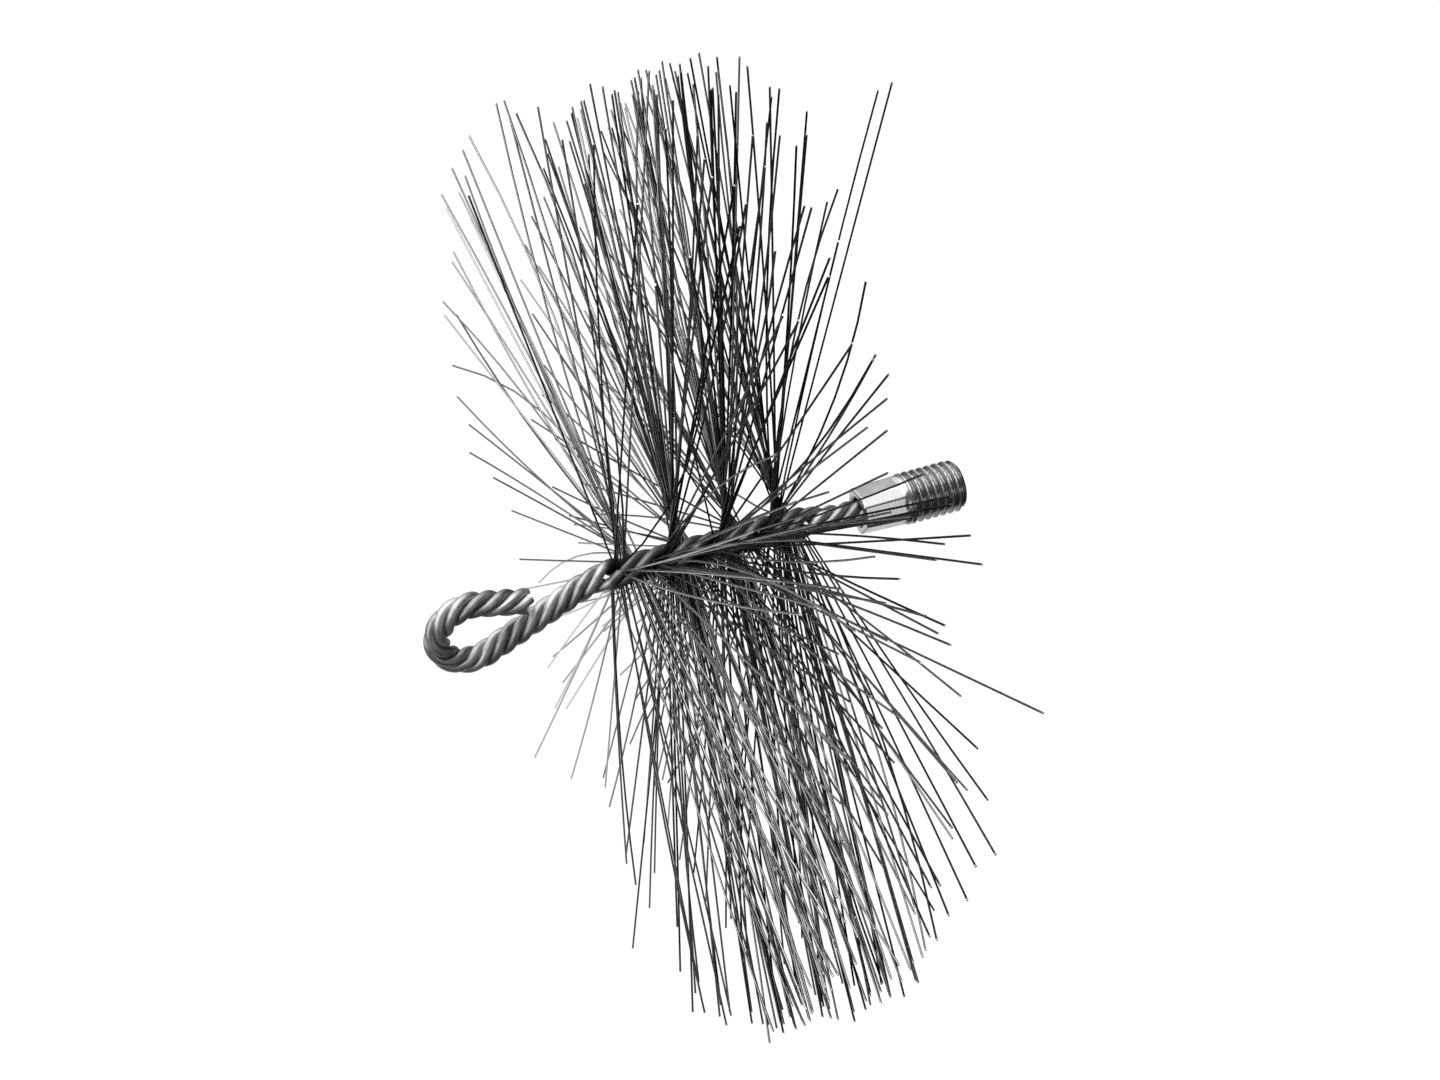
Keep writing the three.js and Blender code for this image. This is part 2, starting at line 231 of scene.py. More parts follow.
def finishShader(tree, shader, look, colour, patches, height):
    # roughness follows the patches and the relief follows the height
    tree.links.new(colour, shader.inputs["Base Color"])
    rough = addNode(tree, "ShaderNodeMapRange", {
        "Value": patches, "From Min": look["patchLow"], "From Max": look["patchHigh"],
        "To Min": look["roughness"][0], "To Max": look["roughness"][1],
    })
    tree.links.new(rough.outputs[0], shader.inputs["Roughness"])
    shader.inputs["Metallic"].default_value = look["metallic"]
    bump = addNode(tree, "ShaderNodeBump", {"Height": height, "Strength": look["bump"],
                                            "Distance": look["bumpDepth"]})
    tree.links.new(bump.outputs[0], shader.inputs["Normal"])


drawnFinish = {
    "lineStretch": 0.035,
    "lineDetail": 5.0,
    "lineRoughness": 0.7,
    "patchDetail": 3.0,
    "patchRoughness": 0.6,
    "patchHeight": 0.5,
}


def makeDrawnFinish():
    # fine lines and patches of drawn wire, read from the drawn attribute: round the wire and along it
    tree, given, result = addTree("drawnFinish", "ShaderNodeTree", [
        ("Drawn", "Vector", None), ("Line Size", "Float", 1.0), ("Patch Size", "Float", 1.0),
    ], [("Lines", "Float"), ("Patches", "Float"), ("Height", "Float")])
    lineScale = calc(tree, "DIVIDE", 1.0, given["Line Size"])
    stretched = addNode(tree, "ShaderNodeMapping", {"Vector": given["Drawn"],
                                                    "Scale": (1.0, 1.0, drawnFinish["lineStretch"])})
    lines = addNode(tree, "ShaderNodeTexNoise", {
        "Vector": stretched.outputs[0], "Scale": lineScale,
        "Detail": drawnFinish["lineDetail"], "Roughness": drawnFinish["lineRoughness"],
    })
    patchScale = calc(tree, "DIVIDE", 1.0, given["Patch Size"])
    patches = addNode(tree, "ShaderNodeTexNoise", {
        "Vector": given["Drawn"], "Scale": patchScale,
        "Detail": drawnFinish["patchDetail"], "Roughness": drawnFinish["patchRoughness"],
    })
    tree.links.new(lines.outputs[0], result["Lines"])
    tree.links.new(patches.outputs[0], result["Patches"])
    height = summed(tree, lines.outputs[0], product(tree, patches.outputs[0], drawnFinish["patchHeight"]))
    tree.links.new(height, result["Height"])
    return tree


def makeSteel(name, look):
    # steel of drawn wire: colour from dark to light over lines, patches and the wire's tone, darkened by
    # painted shade near the grip
    material, tree, shader = newMaterial(name)
    own = {}                                       # what the wire's mesh carries
    for label, output in (("drawn", "Vector"), ("tone", "Fac"), ("paintedShade", "Fac"), ("cut", "Fac")):
        own[label] = addNode(tree, "ShaderNodeAttribute", attribute_name=label).outputs[output]
    finish = addNode(tree, "ShaderNodeGroup", node_tree=drawnFinishTree)
    tree.links.new(own["drawn"], finish.inputs["Drawn"])
    finish.inputs["Line Size"].default_value = look["lineSize"]
    finish.inputs["Patch Size"].default_value = look["patchSize"]
    place = summed(tree, product(tree, finish.outputs["Lines"], look["lineShare"]),
                   product(tree, finish.outputs["Patches"], look["patchShare"]),
                   product(tree, own["tone"], look["toneShare"]))
    # painted shade: darker where the stem runs among the bristles and towards each bristle's root, as if the
    # bristles shade each other
    place = calc(tree, "SUBTRACT", place, product(tree, own["paintedShade"], look["paintedShadeShare"]))
    surface = colourRamp(tree, place, (look["rampStart"], look["dark"]), (look["rampEnd"], look["light"]))
    colour = mixedColour(tree, own["cut"], surface, look["cut"])
    finishShader(tree, shader, look, colour, finish.outputs["Patches"], finish.outputs["Height"])
    return material


drawnFinishTree = makeDrawnFinish()

# Stem: four wires twisted to the left round one centre line, which ends in the hanging eye
stem = {
    "wireDiameter": 2.38 * mm,
    "sides": 16,
    "studLength": 26.4 * mm,
    "wireInBore": 16.2 * mm,
    "bareLength": 14.6 * mm,
    "bristleLength": 48.5 * mm,
    "tufts": 4,
    "rise": 1.5 * mm,
    "riseLength": 12 * mm,
    "dropAngle": math.radians(26.8),
    "dropRadius": 16 * mm,
    "dropLength": 25.6 * mm,
    "eyeRadius": 8.25 * mm,
    "eyeReturnAngle": math.radians(15),
    "returnLength": 12.2 * mm,
    "plainLead": 17.3 * mm,
    "bristleLead": 26.2 * mm,
    "leadBlend": 4 * mm,
    "leadInset": 2 * mm,
    "neckAngle": math.radians(-43),
    "neckInset": 4.4 * mm,
    "plainHalf": 1.36 * mm,
    "gripHalf": 1.35 * mm,
    "gripStandoff": 2.1 * mm,
    "step": 0.3 * mm,
    "corners": [(1.0, 1.0), (-1.0, 1.0), (-1.0, -1.0), (1.0, -1.0)],      # of each wire: along and across
    "tones": [0.0, 0.5, 1.0, 0.0],
    "smoothAngle": math.radians(50),
}
wireLook = {
    "lineSize": 0.5,
    "patchSize": 2.6,
    "lineShare": 0.5,
    "patchShare": 0.5,
    "toneShare": 0.15,
    # share of the painted shade where the stem runs among the bristles
    "paintedShadeShare": 0.5,
    "rampStart": 0.38,
    "rampEnd": 0.68,
    "dark": (0.13, 0.13, 0.13),
    "light": (0.46, 0.46, 0.46),
    "cut": (0.9, 0.9, 0.9),
    "patchLow": 0.3,
    "patchHigh": 0.7,
    "roughness": (0.38, 0.56),
    "metallic": 0.85,
    "bump": 0.45,
    "bumpDepth": 0.05 * mm,
}


def stemRuns():
    # straight runs as (length, 0) and arcs as (radius, turn); a positive turn is to the right
    riseTurn = 2 * math.atan2(stem["rise"], stem["riseLength"])
    riseRadius = stem["riseLength"] / (2 * math.sin(riseTurn))
    return [
        (stem["wireInBore"] + stem["bareLength"] - stem["riseLength"], 0),
        (riseRadius, riseTurn),
        (riseRadius, -riseTurn),
        (stem["bristleLength"], 0),
        (stem["dropRadius"], -stem["dropAngle"]),
        (stem["dropLength"], 0),
        (stem["eyeRadius"], math.pi + stem["dropAngle"] + stem["eyeReturnAngle"]),
        (stem["returnLength"], 0),
    ]


def runLength(run):
    size, turn = run
    return size * abs(turn) if turn else size


def centreAt(distance):
    x, z, heading = stem["wireInBore"] - stem["studLength"], 0.0, math.pi
    for run in stemRuns():
        size, turn = run
        part = min(distance, runLength(run))
        if turn:
            side = -math.copysign(size, turn)
            turned = -math.copysign(part / size, turn)
            x += side * (math.sin(heading + turned) - math.sin(heading))
            z -= side * (math.cos(heading + turned) - math.cos(heading))
            heading += turned
        else:
            x += part * math.cos(heading)
            z += part * math.sin(heading)
        distance -= part
        if distance <= 0:
            break
    return x, z


def smoothRise(value, low, high):
    return eased(min(max((value - low) / (high - low), 0), 1))


bristleStart = stem["wireInBore"] + stem["bareLength"]
bristleEnd = bristleStart + stem["bristleLength"]


def spreadAt(distance, inset=0):
    # 1 among the bristles and 0 where the stem is bare
    start, end = bristleStart + inset, bristleEnd - inset
    before = smoothRise(distance, start - stem["leadBlend"], start)
    return before - smoothRise(distance, end, end + stem["leadBlend"])


def makePath():
    # the centre line as a chain of points that carry their turn and the places of the wires round them
    total = sum(runLength(run) for run in stemRuns())
    count = round(total / stem["step"]) + 1
    distances = np.linspace(0, total, count)
    spread = np.array([spreadAt(distance) for distance in distances])
    loose = np.array([spreadAt(distance, stem["leadInset"]) for distance in distances])
    rate = (1 - loose) / stem["plainLead"] + loose / stem["bristleLead"]
    turn = np.concatenate([[0], np.cumsum((rate[1:] + rate[:-1]) / 2 * np.diff(distances))]) * 2 * math.pi
    turn += stem["neckAngle"] - np.interp(bristleStart + stem["neckInset"], distances, turn)
    mesh = bpy.data.meshes.new("stemPath")
    points = [centreAt(distance) for distance in distances]
    mesh.from_pydata([(x, 0, z) for x, z in points], [(i, i + 1) for i in range(count - 1)], [])
    half = (1 - spread) * stem["plainHalf"] + spread * stem["gripHalf"]
    off = (1 - spread) * stem["plainHalf"] + spread * stem["gripStandoff"]
    cut = (distances >= total).astype(float)
    # the stem is painted darker where it runs among the bristles, as shade that they cast
    for name, values in {"turn": turn, "half": half, "off": off, "cut": cut, "paintedShade": loose}.items():
        mesh.attributes.new(name, "FLOAT", "POINT").data.foreach_set("value", values.astype(np.float32))
    return mesh


def sectionAxes(tree, tangent, angle):
    # along lies in the bristle plane and across is square to it
    up = vectorCalc(tree, "CROSS_PRODUCT", (0, 1, 0), tangent)
    cosine, sine = calc(tree, "COSINE", angle), calc(tree, "SINE", angle)
    along = vectorCalc(tree, "SUBTRACT", scaled(tree, up, cosine), scaled(tree, (0, 1, 0), sine))
    acrossBack = vectorCalc(tree, "ADD", scaled(tree, up, sine), scaled(tree, (0, 1, 0), cosine))
    return along, scaled(tree, acrossBack, -1.0)


def sweepWire(tree, curve, radius, sides, scale=1.0):
    # a round wire along a curve, with its drawn coordinates: round the wire, then the way along it
    curveLength = addNode(tree, "GeometryNodeSplineParameter").outputs["Length"]
    way = calc(tree, "DIVIDE", curveLength, radius)
    curve = store(tree, curve, "way", way)
    circle = addNode(tree, "GeometryNodeCurvePrimitiveCircle", {"Resolution": sides, "Radius": radius})
    place = addNode(tree, "GeometryNodeInputPosition").outputs[0]
    size = addNode(tree, "ShaderNodeCombineXYZ", {0: radius, 1: radius, 2: radius}).outputs[0]
    profile = store(tree, circle.outputs[0], "round", vectorCalc(tree, "DIVIDE", place, size), "FLOAT_VECTOR")
    wire = addNode(tree, "GeometryNodeCurveToMesh", {"Curve": curve, "Profile Curve": profile,
                                                     "Scale": scale, "Fill Caps": True})
    lift = addNode(tree, "ShaderNodeCombineXYZ", {2: attribute(tree, "way")}).outputs[0]
    drawn = vectorCalc(tree, "ADD", attribute(tree, "round", "FLOAT_VECTOR"), lift)
    return store(tree, wire.outputs[0], "drawn", drawn, "FLOAT_VECTOR")


def makeWireTree():
    tree, given, result = addTree("twistedWire", "GeometryNodeTree", [
        ("Geometry", "Geometry", None), ("Wire Diameter", "Float", 0.002), ("Sides", "Int", 12),
        ("Along Side", "Float", 1.0), ("Across Side", "Float", 1.0), ("Tone", "Float", 0.5),
        ("Steel", "Material", None),
    ], [("Geometry", "Geometry")])
    path = addNode(tree, "GeometryNodeMeshToCurve", {"Mesh": given["Geometry"]}).outputs[0]
    tangent = addNode(tree, "GeometryNodeInputTangent").outputs[0]
    along, across = sectionAxes(tree, tangent, attribute(tree, "turn"))
    alongPart = scaled(tree, along, product(tree, given["Along Side"], attribute(tree, "half")))
    acrossPart = scaled(tree, across, product(tree, given["Across Side"], attribute(tree, "off")))
    offset = vectorCalc(tree, "ADD", alongPart, acrossPart)
    strand = addNode(tree, "GeometryNodeSetPosition", {"Geometry": path, "Offset": offset}).outputs[0]
    radius = calc(tree, "DIVIDE", given["Wire Diameter"], 2.0)
    wire = sweepWire(tree, strand, radius, given["Sides"])
    wire = store(tree, wire, "tone", given["Tone"])
    smooth = addNode(tree, "GeometryNodeSetShadeSmooth", {"Geometry": wire, "Shade Smooth": True}).outputs[0]
    steel = addNode(tree, "GeometryNodeSetMaterial", {"Geometry": smooth, "Material": given["Steel"]})
    tree.links.new(steel.outputs[0], result["Geometry"])
    return tree


path = makePath()
stemSteel = makeSteel("stemSteel", wireLook)
wireTree = makeWireTree()
for number, (alongSide, acrossSide) in enumerate(stem["corners"]):
    wire = plainMesh(f"stemStrand{number + 1}", path, wireTree, {
        "Wire Diameter": stem["wireDiameter"], "Sides": stem["sides"], "Along Side": alongSide,
        "Across Side": acrossSide, "Tone": stem["tones"][number], "Steel": stemSteel,
    }, stem["smoothAngle"])
    finished(wire, "stem_wire", f"stem_wire_{number + 1}")
print("stem wires twisted")

# Bristles: spring wires through the middle of the stem, a quarter of them to a tuft. A list holds one value
# for each tuft, from the stud to the eye. Turns are measured from up towards -Y, sweeps towards the stud.
bristle = {
    "diameter": 0.5 * mm,
    "sides": 6,
    "points": 9,
    "wires": [42, 50, 54, 36],
    "thinning": [-0.1, 0, 0.15, 0.65],
    # painted light and shade by tuft: darker towards the stud, paler at the eye end
    "paintedLightShift": [-0.25, -0.12, -0.03, 0.12],
    "length": 113 * mm,
    "lengthSpread": 6 * mm,
    "lengthSway": 1.6 * mm,
    "lengthSwayAngle": math.radians(198),
    "sweep": [math.radians(angle) for angle in (-3, 0.4, -0.1, -0.3)],
    "sway": [math.radians(angle) for angle in (4.1, 4.5, 4.9, 2.6)],
    "swayAngle": [math.radians(angle) for angle in (0, -8, -15, 85)],
    "doubleSway": [math.radians(angle) for angle in (1.3, 1, 1.4, 1.8)],
    "layerSplay": math.radians(0.8),
    "wave": math.radians(1),
    "waveCount": 3.4,
    "sweepNoise": math.radians(0.9),
    "turnNoise": math.radians(0.8),
    "placeNoise": 0.4,
    "bunch": 1.0 * mm,
    "bunchAngle": [math.radians(angle) for angle in (-44, -42, -44, -60)],
    "lowerTurn": math.radians(11),
    "layer": 0.3 * mm,
    "bend": 0.05,
    "leastFall": 0.01,
    "tipLength": 0.5 * mm,
    "tipFlare": 0.08,
    # share of each bristle's length, from the root, that carries painted shade
    "paintedShadeReach": 0.5,
    "smoothAngle": math.radians(70),
    "seed": 7,
    "seedStep": 100.0,
}
# the first of the draws from a tuft's seed that each random value takes
firstDraw = {"place": 0, "turn": 10, "sweep": 15, "length": 20, "bendTurn": 25, "bend": 30, "tone": 40}
# wire ends that stray from their tuft's fan: millimetres from the first bristle, degrees from up towards -Y,
# degrees swept towards the stud, millimetres of length and tone
strayWires = [
    (1.6, 98, -10, 109, 0.2), (7, -7, 15, 110, 0.1), (7, -7, 16.5, 112, 0.1), (10.7, 44, -4, 115, 0.2),
    (11.4, 53, 3, 102, 0.2), (11.6, 56, 6, 106, 0.3), (18.5, 151, 18, 109, 0.2), (18.9, -24, 11, 112, 0.4),
    (20, -9, 9.5, 110, 0.2), (21.9, 17, -13.5, 111, 0.5), (24.1, 48, 11.5, 106, 0.1),
    (24.5, 53, 14, 103, 0.2), (25.2, 63, 7, 110, 0.4), (26.1, 75, 18, 111, 0.2),
    (31.6, 151, -9.5, 111, 0.4), (32.9, 169, -10.5, 110, 0.6), (37.3, 49, 15.5, 105, 0.1),
    (37.3, 49, 20, 105, 0.1), (38.1, 60, 13, 107, 0.3), (37.9, 57, 8, 108, 0.6),
    (45, -25, 13.5, 114, 0.5), (46.5, -5, -14, 109, 0.6), (48.1, -161, 17, 112, 0.7),
    # pale ones next to the eye, whose high tones are a painted reflection: first those that rise to the
    # front, then those that hang down
    (46, 46, 0, 108, 1.3), (44.5, 47, 6, 108, 1.3), (44.5, 52, 1.5, 104, 1.3), (46, 56, 3.5, 104, 1.4),
    (46, 216, 1, 108, 1.1), (46, 204, -5, 108, 0.9), (45, 199, -2, 106, 0.8), (45, 196, 2, 105, 0.9),
    (46, 210, 0, 107, 1.1),
]
bristleLook = {
    "lineSize": 0.6,
    "patchSize": 5.0,
    "lineShare": 0.16,
    "patchShare": 0.3,
    "toneShare": 0.7,
    # share of the painted shade towards the bristles' roots
    "paintedShadeShare": 0.25,
    "rampStart": 0.25,
    "rampEnd": 1.0,
    "dark": (0.015, 0.015, 0.015),
    "light": (0.38, 0.38, 0.38),
    "cut": (0.6, 0.6, 0.6),
    "patchLow": 0.3,
    "patchHigh": 0.7,
    "roughness": (0.2, 0.32),
    "metallic": 0.95,
    "bump": 0.06,
    "bumpDepth": 0.05 * mm,
}
wireInputs = [
    ("Floor", "Float", -0.1), ("Wire Diameter", "Float", 0.0005), ("Sides", "Int", 6), ("Points", "Int", 9),
    ("Tip Length", "Float", 0.0006), ("Tip Flare", "Float", 0.2), ("Steel", "Material", None),
]


def makeWireEndTree():
    # mesh or cloud points that carry reach, bend and tone become bent wires; the last step is the cut tip
    tree, given, result = addTree("wireEnds", "GeometryNodeTree", [
        ("Geometry", "Geometry", None), *wireInputs,
    ], [("Geometry", "Geometry")])
    line = addNode(tree, "GeometryNodeCurvePrimitiveLine").outputs[0]
    line = addNode(tree, "GeometryNodeResampleCurve", {"Curve": line, "Count": given["Points"]}).outputs[0]
    points = addNode(tree, "GeometryNodeMeshToPoints", {"Mesh": given["Geometry"]}).outputs[0]
    joined = addNode(tree, "GeometryNodeJoinGeometry")
    tree.links.new(points, joined.inputs[0])
    cloud = addNode(tree, "GeometryNodeSeparateComponents", {"Geometry": given["Geometry"]})
    tree.links.new(cloud.outputs["Point Cloud"], joined.inputs[0])
    copies = addNode(tree, "GeometryNodeInstanceOnPoints", {"Points": joined.outputs[0], "Instance": line,
                                                            "Scale": (0.0, 0.0, 0.0)}).outputs[0]
    curves = addNode(tree, "GeometryNodeRealizeInstances", {0: copies}).outputs[0]
    step = addNode(tree, "GeometryNodeSplineParameter").outputs["Index"]
    tipStep = calc(tree, "SUBTRACT", given["Points"], 1.0)
    share = calc(tree, "DIVIDE", step, calc(tree, "SUBTRACT", tipStep, 1.0))
    isTip = calc(tree, "GREATER_THAN", step, calc(tree, "SUBTRACT", tipStep, 0.5))
    reach = attribute(tree, "reach", "FLOAT_VECTOR")
    bend = attribute(tree, "bend", "FLOAT_VECTOR")
    body = calc(tree, "MINIMUM", share, 1.0)
    straight = scaled(tree, reach, body)
    curved = scaled(tree, bend, calc(tree, "SUBTRACT", product(tree, body, body), body))
    tipWay = scaled(tree, vectorCalc(tree, "NORMALIZE", reach), product(tree, isTip, given["Tip Length"]))
    offset = vectorCalc(tree, "ADD", vectorCalc(tree, "ADD", straight, curved), tipWay)
    curves = addNode(tree, "GeometryNodeSetPosition", {"Geometry": curves, "Offset": offset}).outputs[0]
    curves = store(tree, curves, "cut", isTip)
    # painted shade: each wire darker towards its root, as if in the shade of the other bristles
    shadeNearGrip = addNode(tree, "ShaderNodeMapRange", {
        "Value": share, "From Min": 0.0, "From Max": bristle["paintedShadeReach"], "To Min": 1.0, "To Max": 0.0,
    }).outputs[0]
    curves = store(tree, curves, "paintedShade", shadeNearGrip)
    radius = calc(tree, "DIVIDE", given["Wire Diameter"], 2.0)
    flare = summed(tree, 1.0, product(tree, isTip, given["Tip Flare"]))
    wires = sweepWire(tree, curves, radius, given["Sides"], flare)
    smooth = addNode(tree, "GeometryNodeSetShadeSmooth", {"Geometry": wires, "Shade Smooth": True}).outputs[0]
    steel = addNode(tree, "GeometryNodeSetMaterial", {"Geometry": smooth, "Material": given["Steel"]})
    tree.links.new(steel.outputs[0], result["Geometry"])
    return tree


def placeEnds(tree, given, seed):
    # where each wire crosses the stem, in one of two layers and bunched, and which of its two ends this is
    path = addNode(tree, "GeometryNodeMeshToCurve", {"Mesh": given["Geometry"]}).outputs[0]
    index = addNode(tree, "GeometryNodeInputIndex").outputs[0]
    wireNumber = calc(tree, "FLOOR", calc(tree, "DIVIDE", index, 2.0))
    end = calc(tree, "MODULO", index, 2.0)
    side = summed(tree, product(tree, calc(tree, "MODULO", wireNumber, 2.0), 2.0), -1.0)
    jitter = bellValue(tree, given["Place Noise"], seed, firstDraw["place"])
    share = calc(tree, "DIVIDE", summed(tree, wireNumber, 0.5, jitter), given["Wires"])
    share = addNode(tree, "ShaderNodeClamp", {"Value": share, "Min": 0.0, "Max": 1.0}).outputs[0]
    thinned = product(tree, given["Thinning"], summed(tree, share, -1.0))
    share = product(tree, share, summed(tree, thinned, 1.0))
    inTufts = summed(tree, share, given["Tuft"])
    distance = summed(tree, given["Start"], product(tree, inTufts, given["Span"]))
    evenPlace = {"Curves": path, "Length": distance, "Value": attribute(tree, "turn")}
    even = addNode(tree, "GeometryNodeSampleCurve", evenPlace, mode="LENGTH", data_type="FLOAT",
                   use_all_curves=True)
    fromBunch = calc(tree, "SUBTRACT", even.outputs["Value"], given["Bunch Angle"])
    bunching = calc(tree, "SINE", product(tree, fromBunch, 2.0))
    bunched = calc(tree, "SUBTRACT", distance, product(tree, given["Bunch"], bunching))
    sample = addNode(tree, "GeometryNodeSampleCurve", {**evenPlace, "Length": bunched}, mode="LENGTH",
                     data_type="FLOAT", use_all_curves=True)
    angle = summed(tree, sample.outputs["Value"], product(tree, end, math.pi))
    across = sectionAxes(tree, sample.outputs["Tangent"], angle)[1]
    layer = scaled(tree, across, product(tree, given["Layer"], side))
    root = vectorCalc(tree, "ADD", sample.outputs["Position"], layer)
    return root, angle, share, end, side


def aimEnds(tree, given, seed, angle, share, end, side):
    # out from the stem and swept towards the stud; the lower ends are pushed round towards the front
    lowness = calc(tree, "SUBTRACT", 0.5, product(tree, calc(tree, "COSINE", angle), 0.5))
    turned = calc(tree, "SUBTRACT", angle, product(tree, lowness, given["Lower Turn"]))
    turned = summed(tree, turned, bellValue(tree, given["Turn Noise"], seed, firstDraw["turn"]))
    outward = addNode(tree, "ShaderNodeCombineXYZ", {
        1: product(tree, calc(tree, "SINE", turned), -1.0), 2: calc(tree, "COSINE", turned),
    }).outputs[0]
    fromSway = calc(tree, "SUBTRACT", angle, given["Sway Angle"])
    sway = product(tree, given["Sway"], calc(tree, "COSINE", fromSway))
    doubleSway = product(tree, given["Double Sway"], calc(tree, "COSINE", product(tree, angle, 2.0)))
    # wires of one layer lean the same way, and their lean drifts slowly along the tuft
    splay = product(tree, given["Layer Splay"], side)
    wavePlace = summed(tree, product(tree, share, given["Wave Count"]), summed(tree, end, side))
    drift = product(tree, given["Wave"], calc(tree, "SINE", product(tree, wavePlace, 2 * math.pi)))
    noise = bellValue(tree, given["Sweep Noise"], seed, firstDraw["sweep"])
    sweep = summed(tree, given["Sweep"], sway, doubleSway, splay, drift, noise)
    return vectorCalc(tree, "ADD", scaled(tree, outward, calc(tree, "COSINE", sweep)),
                      scaled(tree, (1, 0, 0), calc(tree, "SINE", sweep)))


def endLengths(tree, given, seed, angle, root, aim):
    # shorter at random, longer on one side, and never through the floor
    shorter = product(tree, given["Length Spread"], evenValue(tree, 1.0, seed, firstDraw["length"]))
    fromSway = calc(tree, "SUBTRACT", angle, given["Length Sway Angle"])
    longer = product(tree, given["Length Sway"], calc(tree, "COSINE", fromSway))
    length = summed(tree, calc(tree, "SUBTRACT", given["Length"], shorter), longer)
    aimZ = addNode(tree, "ShaderNodeSeparateXYZ", {0: aim}).outputs[2]
    rootZ = addNode(tree, "ShaderNodeSeparateXYZ", {0: root}).outputs[2]
    fall = calc(tree, "MAXIMUM", product(tree, aimZ, -1.0), bristle["leastFall"])
    toFloor = calc(tree, "DIVIDE", calc(tree, "SUBTRACT", rootZ, given["Floor"]), fall)
    return calc(tree, "MINIMUM", length, toFloor)


def bendEnds(tree, given, seed, aim, length):
    # a sideways bow, small on most wires and larger on a few
    bendTurn = evenValue(tree, 2 * math.pi, seed, firstDraw["bendTurn"])
    bendDraw = bellValue(tree, 1.0, seed, firstDraw["bend"])
    bendSize = product(tree, bendDraw, calc(tree, "ABSOLUTE", bendDraw), given["Bend"], length)
    sideways = vectorCalc(tree, "NORMALIZE", vectorCalc(tree, "CROSS_PRODUCT", aim, (1, 0, 0)))
    other = vectorCalc(tree, "CROSS_PRODUCT", aim, sideways)
    bendAim = vectorCalc(tree, "ADD", scaled(tree, sideways, calc(tree, "COSINE", bendTurn)),
                         scaled(tree, other, calc(tree, "SINE", bendTurn)))
    return scaled(tree, bendAim, bendSize)


def makeBristleTree(wireEndTree):
    tree, given, result = addTree("bristleTuft", "GeometryNodeTree", [
        ("Geometry", "Geometry", None), ("Wires", "Int", 50), ("Tuft", "Int", 0), ("Seed", "Int", 0),
        ("Start", "Float", 0.03), ("Span", "Float", 0.013), ("Length", "Float", 0.1),
        ("Length Spread", "Float", 0.01), ("Length Sway", "Float", 0.001),
        ("Length Sway Angle", "Float", 0.0), ("Sweep", "Float", 0.08), ("Sway", "Float", 0.08),
        ("Sway Angle", "Float", 0.0), ("Double Sway", "Float", 0.0), ("Thinning", "Float", 0.0),
        ("Painted Light Shift", "Float", 0.0), ("Layer Splay", "Float", 0.02), ("Wave", "Float", 0.02),
        ("Wave Count", "Float", 3.0), ("Sweep Noise", "Float", 0.04), ("Turn Noise", "Float", 0.04),
        ("Place Noise", "Float", 0.5), ("Bunch", "Float", 0.0007), ("Bunch Angle", "Float", 0.0),
        ("Lower Turn", "Float", 0.0), ("Layer", "Float", 0.0003), ("Bend", "Float", 0.01), *wireInputs,
    ], [("Geometry", "Geometry")])
    seed = summed(tree, product(tree, given["Tuft"], bristle["seedStep"]), given["Seed"])
    root, angle, share, end, side = placeEnds(tree, given, seed)
    aim = aimEnds(tree, given, seed, angle, share, end, side)
    length = endLengths(tree, given, seed, angle, root, aim)
    bend = bendEnds(tree, given, seed, aim, length)
    # each wire's tone at random, shifted by its tuft's painted light and shade
    tone = summed(tree, evenValue(tree, 1.0, seed, firstDraw["tone"]), given["Painted Light Shift"])
    points = addNode(tree, "GeometryNodePoints", {"Count": product(tree, given["Wires"], 2.0)}).outputs[0]
    points = addNode(tree, "GeometryNodeSetPosition", {"Geometry": points, "Position": root}).outputs[0]
    points = store(tree, points, "bend", bend, "FLOAT_VECTOR")
    points = store(tree, points, "reach", scaled(tree, aim, length), "FLOAT_VECTOR")
    points = store(tree, points, "tone", tone)
    wires = addNode(tree, "GeometryNodeGroup", {"Geometry": points}, node_tree=wireEndTree)
    for label, socketType, default in wireInputs:
        tree.links.new(given[label], wires.inputs[label])
    tree.links.new(wires.outputs[0], result["Geometry"])
    return tree


bristleSteel = makeSteel("bristleSteel", bristleLook)
wireEndTree = makeWireEndTree()
bristleTree = makeBristleTree(wireEndTree)
tipFloor = floorHeight + bristle["tipLength"]
wireValues = {
    "Floor": tipFloor, "Wire Diameter": bristle["diameter"], "Sides": bristle["sides"],
    "Points": bristle["points"], "Tip Length": bristle["tipLength"], "Tip Flare": bristle["tipFlare"],
    "Steel": bristleSteel,
}


def layTuft(tuft):
    made = plainMesh(f"bristles{tuft + 1}", path, bristleTree, {
        "Wires": bristle["wires"][tuft], "Tuft": tuft, "Seed": bristle["seed"],
        "Start": bristleStart, "Span": stem["bristleLength"] / stem["tufts"],
        "Length": bristle["length"], "Length Spread": bristle["lengthSpread"],
        "Length Sway": bristle["lengthSway"], "Length Sway Angle": bristle["lengthSwayAngle"],
        "Sweep": bristle["sweep"][tuft], "Sway": bristle["sway"][tuft],
        "Sway Angle": bristle["swayAngle"][tuft], "Double Sway": bristle["doubleSway"][tuft],
        "Thinning": bristle["thinning"][tuft], "Painted Light Shift": bristle["paintedLightShift"][tuft],
        "Layer Splay": bristle["layerSplay"], "Wave": bristle["wave"], "Wave Count": bristle["waveCount"],
        "Sweep Noise": bristle["sweepNoise"], "Turn Noise": bristle["turnNoise"],
        "Place Noise": bristle["placeNoise"], "Bunch": bristle["bunch"],
        "Bunch Angle": bristle["bunchAngle"][tuft], "Lower Turn": bristle["lowerTurn"],
        "Layer": bristle["layer"], "Bend": bristle["bend"], **wireValues,
    }, bristle["smoothAngle"])
    finished(made, "bristle", f"bristle_tuft_{tuft + 1}")


